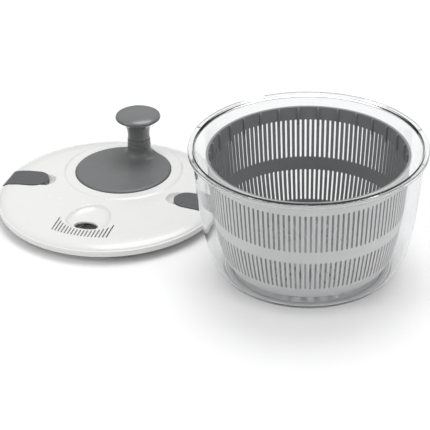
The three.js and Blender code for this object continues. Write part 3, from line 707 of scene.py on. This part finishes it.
lid = lid_blank()
lid = cut(lid, lid_inside())
channel = [(spigot_radius, tool_low), (channel_radius, tool_low)]
channel += [(channel_radius, channel_top), (spigot_radius, channel_top)]
lid = cut(lid, turned("channel", channel, lid_place, 180))
recess = [(0, recess_floor), (recess_radius - 0.8, recess_floor), (recess_radius, recess_floor + 0.8)]
recess += [(recess_radius, plateau_top - 0.9), (recess_radius + 0.25, plateau_top - 0.3)]
recess += [(recess_radius + 0.9, plateau_top + 0.05), (recess_radius + 0.9, tool_high), (0, tool_high)]
lid = cut(lid, turned("recess", recess, dial_middle, 240))
hub_bearing = [(hub_hole, seat_bottom), (hub_hole + 3, seat_bottom), (hub_hole + 3, 12.7)]
hub_bearing += [(hub_hole + 2.5, 13.2), (hub_hole, 13.2)]
pinion_boss = bar(pinion_boss_radius, seat_bottom, 12.1, lid_place)
lid = cut(lid, bar(hub_hole, tool_low, tool_high, dial_middle))
lid = weld(lid, turned("bearing", hub_bearing, dial_middle, 48), pinion_boss)
lid = cut(lid, bar(pinion_hole, tool_low, 11.1, lid_place))

fill_hole = ellipse((0, -81), (14, 10.5))
lid = cut(lid, lofted("hole", raised(fill_hole, tool_low, tool_high), lid_place))

# Each drain slot runs from an arc near the lid's edge in to the dish, and has round ends.
drain_count = 17
drain_pitch = 4.1
drain_half = 0.9
drain_reach = 109
drains = []
for i in range(drain_count):
    x = (i - (drain_count - 1) / 2) * drain_pitch
    outer = -math.sqrt(drain_reach**2 - x**2)
    inner = dish_wall_middle - 29.5 * math.sqrt(1 - min(abs(x) / 35, 1) ** 2)
    ends = [(inner - drain_half, 0), (outer + drain_half, math.pi)]
    outline = [
        (x + drain_half * math.cos(start + a), y + drain_half * math.sin(start + a))
        for y, start in ends
        for a in half_round
    ]
    drains.append(lofted("drain", raised(outline, 2, tool_high), lid_place))
lid = cut(lid, merged("drains", drains))

for facing in facings:
    half = latch_width / 2 + latch_gap
    well_start = spigot_radius - 5.3 - 5
    levels = []
    for margin, under in ((0, None), (0, -0.7), (0.12, -0.3), (0.45, 0), (0.5, 0.6)):
        outline = latch_outline(latch_gap + margin, spigot_inside)
        if under is None:
            levels.append([(x, y, pocket_floor) for x, y in outline])
        else:
            levels.append([(x, y, max(surface_height(math.hypot(x, y)), 9) + under) for x, y in outline])
    levels.append([(x, y, 40) for x, y, _ in levels[-1]])
    lid = cut(
        lid,
        lofted("slot", levels, facing),
        block((well_start, spigot_inside), (-half, half), (2, tool_high), facing),
        block((spigot_inside - 1, beyond), (-half, half), (channel_top + 1.4, tool_high), facing),
        block((channel_radius - 0.2, beyond), (-half, half), (tool_low, tool_high), facing),
    )
    lid = cut(lid, bar(pin_radius + 0.3, -pin_reach - 0.3, pin_reach + 0.3, pin_axis(facing), 24))
for x, y in screw_places:
    lid = cut(lid, bar(1.1, 0, 7, lid_place @ Matrix.Translation((x * mm, y * mm, 0)), 24))
shade(lid, 28)
glossy_white = moulded(
    "glossy white", (0.78, 0.78, 0.775), 0.24, cloud=0.008, grain=250, relief=0.000002, coat=0.25
)
fitted(evened(lid), "lid", "white_plastic", glossy_white, "lid_shell")

# ---- The gear train ----
# Under the lid a white cover holds the acetal gears: the large gear is screwed up into the dial's hub, and
# turns the small pinion above the driver. The CAD solids are right as they are and only get softened edges
# and a finish.
gear_parts = {
    "gear_cover": moulded("inner white", (0.72, 0.72, 0.7), 0.38, cloud=0.015),
    "drive_gear": moulded("natural acetal", (0.72, 0.69, 0.61), 0.32, cloud=0.03),
    "pinion": moulded("pinion acetal", (0.68, 0.66, 0.6), 0.32, cloud=0.03),
}
for name, material in gear_parts.items():
    node = frame["nodes"][name]
    node.data.materials.clear()
    node.data.materials.append(material)
    edges = node.modifiers.new("softened edges", "BEVEL")
    edges.width = 0.0002
    edges.segments = 2
    edges.limit_method = "ANGLE"
    edges.angle_limit = math.radians(40)

# ---- The driver ----
# The driver is a grey disc with twelve openings, keyed to the pinion's shaft. Its rim hangs down into the
# basket, and six lugs on the rim catch the basket's ribs. The lid stands on this rim when it is off the bowl.
driver_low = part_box("basket_driver")[0]
lug_radius = 106.9
driver_radius = 104.3
driver_rim = 3.2
driver_web = (-3.2, -1.4)
driver_foot = (driver_low.z - lid_base) / mm
driver_profile = rounded(
    [(0, -6.6), (9.3, -6.6, 0.6), (9.3, driver_web[0], 1), (driver_radius - driver_rim, driver_web[0], 1)]
    + [(driver_radius - driver_rim, driver_foot, 0.7), (driver_radius, driver_foot, 0.7)]
    + [(driver_radius, driver_web[1], 1.4), (0, driver_web[1])]
)
driver = turned("basket_driver_disc", driver_profile, lid_place, 180)


def sector(inner, outer, half_angle, steps=12):
    """A stretch of a flat ring, its middle on +X."""
    sweep = [math.radians(half_angle * (2 * k / steps - 1)) for k in range(steps + 1)]
    far = [(outer * math.cos(a), outer * math.sin(a)) for a in sweep]
    near = [(inner * math.cos(a), inner * math.sin(a)) for a in reversed(sweep)]
    return far + near


openings = []
lugs = []
for i in range(12):
    turn = lid_place @ Matrix.Rotation(math.radians(30 * i), 4, "Z")
    openings.append(lofted("opening", raised(sector(26, driver_radius - 12, 10), -6, 0), turn))
for i in range(6):
    turn = lid_place @ Matrix.Rotation(math.radians(60 * i), 4, "Z")
    catch = sector(driver_radius - 1, lug_radius, 2.5)
    lugs.append(lofted("lug", raised(catch, driver_foot, driver_web[0]), turn))
driver = cut(driver, merged("openings", openings))
driver = weld(driver, merged("lugs", lugs))
key_hole = ellipse((0, 0), (5.3, 5.3), 6)
driver = cut(driver, lofted("key", raised(key_hole, -5.3, 2), lid_place), bar(2, -20, 2, lid_place, 32))
driver_grey = moulded("driver grey", (0.6, 0.605, 0.61), 0.36)
fitted(driver, "driver", "grey_plastic", driver_grey, "basket_driver")

# ---- The latches ----
# Each latch is a strap of darker grey plastic. It lies along the lid's top, bends down over the rim and ends
# in a hook that grips the bowl's flange, and two bosses under it turn on a steel pin.
latch_rise = 0.8
latch_thick = 2.2
hook_foot = -4.3
latch_out = 132.8
satin_graphite = moulded("satin graphite", (0.088, 0.09, 0.094), 0.3, cloud=0.05, grain=700, relief=0.000006)


def latch_strap(name, facing):
    """The strap, hook and all, as cross-sections along its length with rounded edges."""
    half = latch_width / 2
    middle = latch_inner_end + half
    painted_light_mask = []
    for k in range(1, 13):
        angle = math.radians(7.5 * k)
        x = middle - half * math.cos(angle)
        near = min(x - latch_inner_end, 1)
        soft = 0.5 * (1 - math.sqrt(1 - (1 - near) ** 2))
        painted_light_mask.append((x, surface_height(x) + latch_rise - soft, half * math.sin(angle)))
    for x in (100, 105, 108, 112, 116, 120, 123, 125.5, 127.5, 129):
        painted_light_mask.append((x, surface_height(x) + latch_rise, half))
    inside = [(x, z - latch_thick) for x, z, _ in painted_light_mask]
    for x, z, in_x, in_z in (
        (130.4, 6.4, 129.6, 4.6),
        (131.5, 5.2, 130.3, 3.7),
        (132.3, 3.8, 130.7, 2.6),
        (latch_out, 2, 130.7, 1.4),
        (latch_out, 0, 130.7, -0.4),
        (latch_out, -1.8, 130.7, -2.0),
        (latch_out, -2.2, 129.2, -2.15),
        (latch_out, -3.2, 129.1, -3.1),
        (latch_out - 0.2, hook_foot + 0.3, 129.8, hook_foot + 0.1),
        (latch_out - 0.7, hook_foot, 130.2, hook_foot),
    ):
        painted_light_mask.append((x, z, half))
        inside.append((in_x, in_z))
    loops = []
    for (x, z, wide), (in_x, in_z) in zip(painted_light_mask, inside):
        across = Vector((in_x - x, in_z - z))
        edge = min(0.75, wide * 0.8)
        loop = []
        for side in (-1, 1):
            corners = [(1 - math.sin(a), 1 - math.cos(a)) for a in [math.pi / 2 * k / 4 for k in range(5)]]
            if side < 0:
                corners = corners[::-1]
            for inward, down in corners:
                sunk = across * (edge * down / across.length)
                loop.append((x + sunk.x, side * (wide - edge * inward), z + sunk.y))
        loop.append((in_x, wide, in_z))
        loop.append((in_x, -wide, in_z))
        loops.append(loop)
    return lofted(name, loops, facing, 40)


for side, facing in zip(("right", "left"), facings):
    latch = latch_strap(f"{side}_latch_strap", facing)
    axle = pin_axis(facing)
    for end in (-1, 1):
        low, high = sorted((end * 5, end * latch_width / 2))
        web = block((pin_distance - 2.6, pin_distance + 2.6), (low, high), (pin_height, 10), facing)
        latch = weld(latch, bar(3, low, high, axle, 40), web)
    latch = cut(latch, bar(1.8, -20, 20, axle, 32))
    fitted(evened(latch), f"latch_{side}", "dark_plastic", satin_graphite, f"latch_{side}")

# ---- The latch pins and springs ----
# A ground steel pin carries each latch. A torsion spring of steel wire is wound round its middle, with one
# leg on the floor of the lid's tray and the other under the strap.


def metal(name, colour, rough, brushed=(1, 1, 1)):
    """Plain steel, with fine marks that follow the way it was worked."""
    material, tree, shader = nodes_for(name)
    shader.inputs["Metallic"].default_value = 1
    tint = tree.nodes.new("ShaderNodeMix")
    tint.data_type = "RGBA"
    tint.inputs["A"].default_value = (*[value * 0.88 for value in colour], 1)
    tint.inputs["B"].default_value = (*colour, 1)
    tree.links.new(noise(tree, 600, 2, brushed), tint.inputs["Factor"])
    tree.links.new(tint.outputs["Result"], shader.inputs["Base Color"])
    gloss = ranged(tree, noise(tree, 900, 2, brushed), rough * 0.7, rough * 1.3)
    tree.links.new(gloss, shader.inputs["Roughness"])
    bumped(tree, shader, noise(tree, 2500, 2, brushed), 0.000004)
    return material


ground_steel = metal("ground steel", (0.62, 0.63, 0.65), 0.22)
spring_wire = metal("spring wire", (0.5, 0.51, 0.53), 0.3)
wire_radius = 0.4
coil_radius = 2.3
coil_turns = 7
coil_reach = 3.6
turn_points = 14
for side, facing in zip(("right", "left"), facings):
    axle = pin_axis(facing)
    ends = [(0, -pin_reach), (pin_radius, -pin_reach, 0.3), (pin_radius, pin_reach, 0.3), (0, pin_reach)]
    pin = turned(f"{side}_latch_pin", rounded(ends), axle, 40)
    fitted(pin, "lid", "steel", ground_steel, f"latch_pin_{side}")

    route = [(pin_distance - 12.6, -coil_reach, 4.95), (pin_distance - 6, -coil_reach, 4.75)]
    for k in range(coil_turns * turn_points + 1):
        angle = -math.pi / 2 - 2 * math.pi * k / turn_points
        x = pin_distance + coil_radius * math.cos(angle)
        along = 2 * coil_reach * k / (coil_turns * turn_points) - coil_reach
        route.append((x, along, pin_height + coil_radius * math.sin(angle)))
    route += [(pin_distance - 3, coil_reach, 6.45), (pin_distance - 8.6, coil_reach, 6.45)]
    curve = bpy.data.curves.new(f"{side}_latch_spring", "CURVE")
    curve.dimensions = "3D"
    curve.bevel_depth = wire_radius * mm
    curve.bevel_resolution = 3
    curve.use_fill_caps = True
    line = curve.splines.new("POLY")
    line.points.add(len(route) - 1)
    for point, (x, y, z) in zip(line.points, route):
        point.co = (*(facing @ (Vector((x, y, z)) * mm)), 1)
    spring = bpy.data.objects.new(f"{side}_latch_spring", curve)
    bpy.context.scene.collection.objects.link(spring)
    fitted(spring, "lid", "steel", spring_wire, f"latch_spring_{side}")

# ---- The dial ----
# The dial is a grey disc with a short skirt, a hub that runs down through the lid to the gear, and a round
# pedestal near its edge for the knob. All of it is one moulding with a satin face and a soft edge.
knob_at = Vector(joints["knob_spin"]["pos_m"])
towards_knob = knob_at - dial_at
dial_turn = math.atan2(towards_knob.y, towards_knob.x) - math.pi / 2
knob_offset = math.hypot(towards_knob.x, towards_knob.y) / mm
dial_top = 16.6
dial_radius = 56.4
dial_face = Matrix.Translation((dial_at.x, dial_at.y, lid_base + dial_top * mm))
dial_place = dial_face @ Matrix.Rotation(dial_turn, 4, "Z")
knob_place = dial_place @ Matrix.Translation((0, knob_offset * mm, 0))
dial_profile = rounded(
    [(0, -2.4), (53.6, -2.4, 0.5), (53.6, -3.9, 0.3), (dial_radius, -3.9, 0.3), (dial_radius, -1.5, 0.5)]
    + [(dial_radius - 1, -0.45, 0.9), (dial_radius - 3, 0, 1.4), (0, 0)]
)
dial = turned("grey_dial", dial_profile, dial_place, 240)
pedestal_height = 21.9
stem_radius = 13.9
flare = [math.radians(9 * k) for k in range(11)]
foot = [(0, -1), (24, -1), (24, 0)]
foot += [(stem_radius + 10.1 * (1 - math.sin(a)), 0.02 + 9.5 * (1 - math.cos(a))) for a in flare]
pedestal_profile = foot + rounded(
    [(stem_radius, 9.6), (stem_radius, 14.8, 0.4), (13.2, 15.2, 0.2), (13.2, 16, 0.2)]
    + [(13.8, 16.4, 0.3), (13.6, pedestal_height, 0.6), (0, pedestal_height)]
)
pedestal = turned("pedestal", pedestal_profile, knob_place, 120)
pedestal = worked(pedestal, "INTERSECT", bar(dial_radius - 1.6, -30, 60, dial_place, 240))
dial = weld(dial, pedestal, bar(8, 8.1 - dial_top, -1, dial_place, 60))
hub_key = ellipse((0, 0), (7, 7), 6)
dial = weld(dial, lofted("key", raised(hub_key, 5.1 - dial_top, -5), dial_place))
dial = cut(dial, bar(4.3, 6, 40, knob_place), bar(1.9, -30, -4, dial_place, 32))
shade(dial, 32)
satin_grey = moulded("satin grey", (0.15, 0.152, 0.155), 0.36, cloud=0.03, grain=700, relief=0.000006)
fitted(evened(dial), "dial", "dark_plastic", satin_grey, "dial")

# ---- The knob ----
# The knob is a hollow mushroom that spins on a steel post in the pedestal. A domed cap snaps into its top and
# hides the washer and the screw that hold it down.
knob_base = pedestal_height + 0.4
knob_seat = Matrix.Translation((0, 0, knob_base * mm))
knob_profile = rounded(
    [(13.3, 0, 0.5), (13.1, 5, 2), (13.6, 11, 3), (15.8, 17.6, 3), (19.6, 22.2, 2.5)]
    + [(24.6, 25.3, 2), (27, 27, 0.8), (27, 28, 0.4), (25.1, 28), (23.8, 27), (19, 25.2)]
    + [(12, 20), (4.35, 20), (4.35, 0)],
    closed=True,
)
knob = turned("mushroom_knob", knob_profile, knob_place @ knob_seat, 120)
knob_gloss = moulded(
    "knob grey", (0.15, 0.152, 0.155), 0.24, cloud=0.03, grain=500, relief=0.000003, coat=0.3
)
fitted(knob, "knob", "dark_plastic", knob_gloss, "knob")

cap_seat = 28.3
arch = [math.radians(7.5 * k) for k in range(13)]
crown = [(26.7 * math.sin(a), cap_seat + 0.35 + 5.35 * math.cos(a)) for a in arch]
crown[0] = (0, cap_seat + 5.7)
cap_profile = crown + [(26.5, cap_seat + 0.05), (26.2, cap_seat), (23.5, cap_seat), (23.5, cap_seat - 1)]
cap_profile += [(22.1, cap_seat - 1), (22.1, cap_seat + 0.2), (16, cap_seat + 2.2)]
cap_profile += [(10, cap_seat + 3), (0, cap_seat + 3.8)]
knob_cap = turned("knob_cap_dome", cap_profile, knob_place @ knob_seat, 120)
fitted(knob_cap, "knob", "dark_plastic", knob_gloss, "knob_cap")

# ---- The post, washers and screws ----
# The hardware is plated steel: the knob's post, one washer under the knob's screw and one under the gear's,
# and seven pan-head screws with a cross recess.
plated_steel = metal("plated steel", (0.66, 0.67, 0.69), 0.25)
post_top = knob_base + 20.4
post_profile = rounded([(0, 6.3), (4, 6.3, 0.5), (4, post_top, 0.5), (0, post_top)])
post = turned("knob_post_rod", post_profile, knob_place, 64)
post = cut(post, bar(1.9, post_top - 14, post_top + 1, knob_place, 24))
fitted(post, "dial", "steel", plated_steel, "knob_post")

for name, outer in (("gear_washer", 8), ("knob_washer", 7.5)):
    low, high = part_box(name)
    middle = Matrix.Translation(((low.x + high.x) / 2, (low.y + high.y) / 2, low.z))
    tall = (high.z - low.z) / mm
    ring = rounded([(1.9, 0, 0.15), (outer, 0, 0.25), (outer, tall, 0.25), (1.9, tall, 0.15)], closed=True)
    washer = turned(f"{name}_ring", ring, middle, 64)
    fitted(washer, "dial", "steel", plated_steel, name)


def pan_screw(name, shank, head, head_height, upside_down=False):
    """A pan-head screw in the place of its node, its head down unless it is turned over."""
    low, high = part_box(name)
    length = (high.z - low.z) / mm - head_height
    seat = low.z + head_height * mm
    flip = Matrix()
    if upside_down:
        seat = high.z - head_height * mm
        flip = Matrix.Rotation(math.pi, 4, "X")
    place = Matrix.Translation(((low.x + high.x) / 2, (low.y + high.y) / 2, seat)) @ flip
    step = 0.45  # half the thread's pitch
    thread = [(shank - (0.3 if k % 2 else 0), k * step) for k in range(1, int((length - 1.5) / step))]
    profile = rounded([(0, -head_height), (head, -head_height, 0.8), (head, 0, 0.2), (shank, 0)])
    profile += thread + [(shank, length - 1.2), (0, length)]
    made = turned(f"{name}_pan", profile, place, 32)
    arm = head * 0.55
    deep = (-head_height - 1, -head_height * 0.45)
    long, narrow = (-arm, arm), (-0.4, 0.4)
    return cut(made, block(long, narrow, deep, place), block(narrow, long, deep, place))


for number in range(1, 5):
    name = f"cover_screw_{number}"
    fitted(pan_screw(name, 1.3, 3.2, 1.1), "lid", "steel", plated_steel, name)
fitted(pan_screw("driver_screw", 1.6, 3.6, 1.3), "driver", "steel", plated_steel, "driver_screw")
fitted(pan_screw("gear_screw", 1.6, 3.4, 0.9), "dial", "steel", plated_steel, "gear_screw")
fitted(pan_screw("knob_screw", 1.6, 3.6, 1.8, True), "dial", "steel", plated_steel, "knob_screw")

# ---- The table, the light and the camera ----
# The spinner stands on a plain white table in an even white room. A broad lamp above and behind it lays a
# soft shadow towards the front, and two weaker ones fill the sides.
table_reach = 6  # metres
table_level = -0.0002
sheet = bpy.data.meshes.new("table")
corners = [(-1, -1), (1, -1), (1, 1), (-1, 1)]
sheet.from_pydata([(x * table_reach, y * table_reach, table_level) for x, y in corners], [], [(0, 1, 2, 3)])
table = bpy.data.objects.new("table", sheet)
bpy.context.scene.collection.objects.link(table)
white_table = moulded("white table", (0.94, 0.94, 0.94), 0.6, cloud=0.003, grain=300, relief=0.000005)
table.data.materials.append(white_table)

room = bpy.data.worlds.new("white room")
room.use_nodes = True
sky = room.node_tree.nodes["Background"]
sky.inputs["Strength"].default_value = 0.68
direction = room.node_tree.nodes.new("ShaderNodeTexCoord")
parts = room.node_tree.nodes.new("ShaderNodeSeparateXYZ")
ramp = room.node_tree.nodes.new("ShaderNodeValToRGB")
ramp.color_ramp.elements[0].position = 0.05
ramp.color_ramp.elements[0].color = (0.3, 0.3, 0.3, 1)
ramp.color_ramp.elements[1].position = 0.45
ramp.color_ramp.elements[1].color = (1, 1, 1, 1)
room.node_tree.links.new(direction.outputs["Generated"], parts.inputs["Vector"])
room.node_tree.links.new(parts.outputs["Z"], ramp.inputs["Fac"])
room.node_tree.links.new(ramp.outputs["Color"], sky.inputs["Color"])
bpy.context.scene.world = room
bpy.context.scene.view_settings.view_transform = "Standard"

aim = Vector((-0.12, 0.06, 0.06))
for name, place, size, watts in (
    ("back lamp", (0.1, 0.75, 1.9), 1.3, 18),
    ("left lamp", (-1.6, -0.4, 1.3), 0.8, 6),
    ("right lamp", (1.4, -0.9, 1.2), 0.8, 6),
):
    lamp = bpy.data.lights.new(name, "AREA")
    lamp.shape = "DISK"
    lamp.size = size
    lamp.energy = watts
    holder = bpy.data.objects.new(name, lamp)
    holder.location = place
    holder.rotation_euler = (aim - Vector(place)).to_track_quat("-Z", "Y").to_euler()
    bpy.context.scene.collection.objects.link(holder)

camera_data = bpy.data.cameras.new("camera")
camera_data.lens = 154.19
camera_data.sensor_width = 36
camera_data.clip_end = 50
camera = bpy.data.objects.new("camera", camera_data)
camera.location = (-0.10183, -1.74349, 1.08522)
pitch = math.radians(90 - 30.34)
roll = math.radians(-1.16)
camera.matrix_world = (
    Matrix.Translation(camera.location) @ Matrix.Rotation(pitch, 4, "X") @ Matrix.Rotation(roll, 4, "Z")
)
bpy.context.scene.collection.objects.link(camera)
bpy.context.scene.camera = camera
